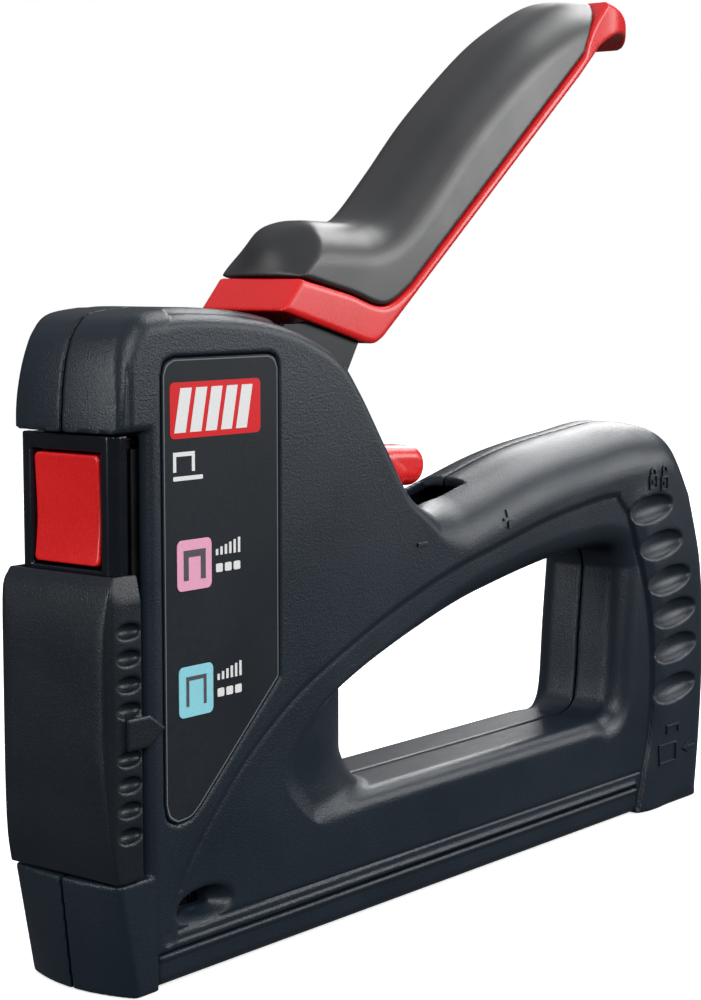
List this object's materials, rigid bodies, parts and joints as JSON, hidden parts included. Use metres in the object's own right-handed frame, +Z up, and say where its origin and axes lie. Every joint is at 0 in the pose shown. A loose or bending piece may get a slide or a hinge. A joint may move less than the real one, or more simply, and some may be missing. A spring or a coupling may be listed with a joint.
{
  "type": "staple gun",
  "caption": "Hand staple gun with a squeeze lever, finger hole, sliding nose selector, power adjuster and a magazine that pulls out at the back.",
  "frame": {"origin": "under the middle of the tool's box, on the surface that it stands on", "axes": "+X towards the back of the tool, away from the nose; -Y towards the user's left-hand side; +Z up"},
  "size_m": [0.202, 0.029, 0.1837],
  "materials": {
    "shell_plastic": "fine spark-eroded grain, blue-black",
    "cover_plastic": "satin, lightly grained",
    "gloss_black_plastic": "polished",
    "red_plastic": "smooth, slightly glossy",
    "soft_grip": "soft-touch, satin",
    "label_film": "finely grained printed film",
    "bright_steel": "zinc plated",
    "black_steel": "blackened",
    "spring_steel": "drawn wire",
    "staple_wire": "galvanised wire",
    "bumper_rubber": "matt"
  },
  "bodies": {
    "housing": {"left_shell": "shell_plastic", "right_shell": "shell_plastic", "left_label": "label_film", "right_label": "label_film", "shell_screw_1": "black_steel", "shell_screw_2": "black_steel", "shell_screw_3": "black_steel", "shell_screw_4": "black_steel", "shell_screw_5": "black_steel", "shell_screw_6": "black_steel", "steel_frame": "black_steel", "slide_guide": "gloss_black_plastic", "catch_axle": "bright_steel", "power_spring": "spring_steel", "spring_cap": "bright_steel", "plunger_bumper": "bumper_rubber", "lever_axle": "bright_steel", "adjuster_axle": "bright_steel", "magazine_channel": "bright_steel", "staple_strip": "staple_wire", "bottom_strip": "shell_plastic"},
    "lever": {"lever_fork": "black_steel", "lever_base": "red_plastic", "lever_grip": "soft_grip"},
    "driver": {"plunger": "black_steel", "driver_blade": "bright_steel"},
    "selector": {"selector_cover": "cover_plastic"},
    "catch": {"front_catch": "red_plastic"},
    "adjuster": {"adjuster_lever": "red_plastic"},
    "force_slide": {"force_slide": "bright_steel"},
    "magazine": {"magazine_rail": "bright_steel", "drawer_end": "shell_plastic", "pusher_rod": "bright_steel", "pusher_spring": "spring_steel"},
    "pusher": {"pusher": "bright_steel"},
    "latch": {"latch_button": "red_plastic"},
    "lock": {"lever_lock": "red_plastic"}
  },
  "joints": [
    {"name": "lever_squeeze", "type": "hinge", "parent": "housing", "child": "lever", "pos_m": [-0.0487, 0, 0.1], "axis": [0, 1, 0], "range_deg": [0, 36], "stiffness_Nm_per_rad": 3, "springref_deg": -14.32},
    {"name": "driver_lift", "type": "slide", "parent": "housing", "child": "driver", "axis": [0, 0, 1], "range_m": [0, 0.0203], "deforming": ["power_spring"]},
    {"name": "selector_slide", "type": "slide", "parent": "housing", "child": "selector", "axis": [0, 0, 1], "range_m": [0, 0.022]},
    {"name": "catch_press", "type": "hinge", "parent": "housing", "child": "catch", "pos_m": [-0.0936, 0, 0.0926], "axis": [0, -1, 0], "range_deg": [0, 8], "stiffness_Nm_per_rad": 0.05, "springref_deg": -5.73},
    {"name": "power_adjust", "type": "hinge", "parent": "housing", "child": "adjuster", "pos_m": [-0.016, 0, 0.066], "axis": [0, 1, 0], "range_deg": [0, 22]},
    {"name": "force_slide_move", "type": "slide", "parent": "housing", "child": "force_slide", "axis": [-1, 0, 0], "range_m": [0, 0.0029]},
    {"name": "magazine_pull", "type": "slide", "parent": "housing", "child": "magazine", "axis": [1, 0, 0], "range_m": [0, 0.09]},
    {"name": "pusher_travel", "type": "slide", "parent": "magazine", "child": "pusher", "axis": [1, 0, 0], "range_m": [0, 0.03], "stiffness_N_per_m": 30, "springref_m": -0.05, "deforming": ["pusher_spring"]},
    {"name": "latch_press", "type": "slide", "parent": "magazine", "child": "latch", "axis": [-1, 0, 0], "range_m": [0, 0.0018], "stiffness_N_per_m": 300, "springref_m": -0.003},
    {"name": "lock_slide", "type": "slide", "parent": "housing", "child": "lock", "axis": [0, 0, 1], "range_m": [0, 0.006]}
  ],
  "couplings": [
    {"joint": "driver_lift", "follows": "lever_squeeze", "m_per_rad": 0.0322},
    {"joint": "power_adjust", "follows": "force_slide_move", "rad_per_m": 132.4}
  ]
}
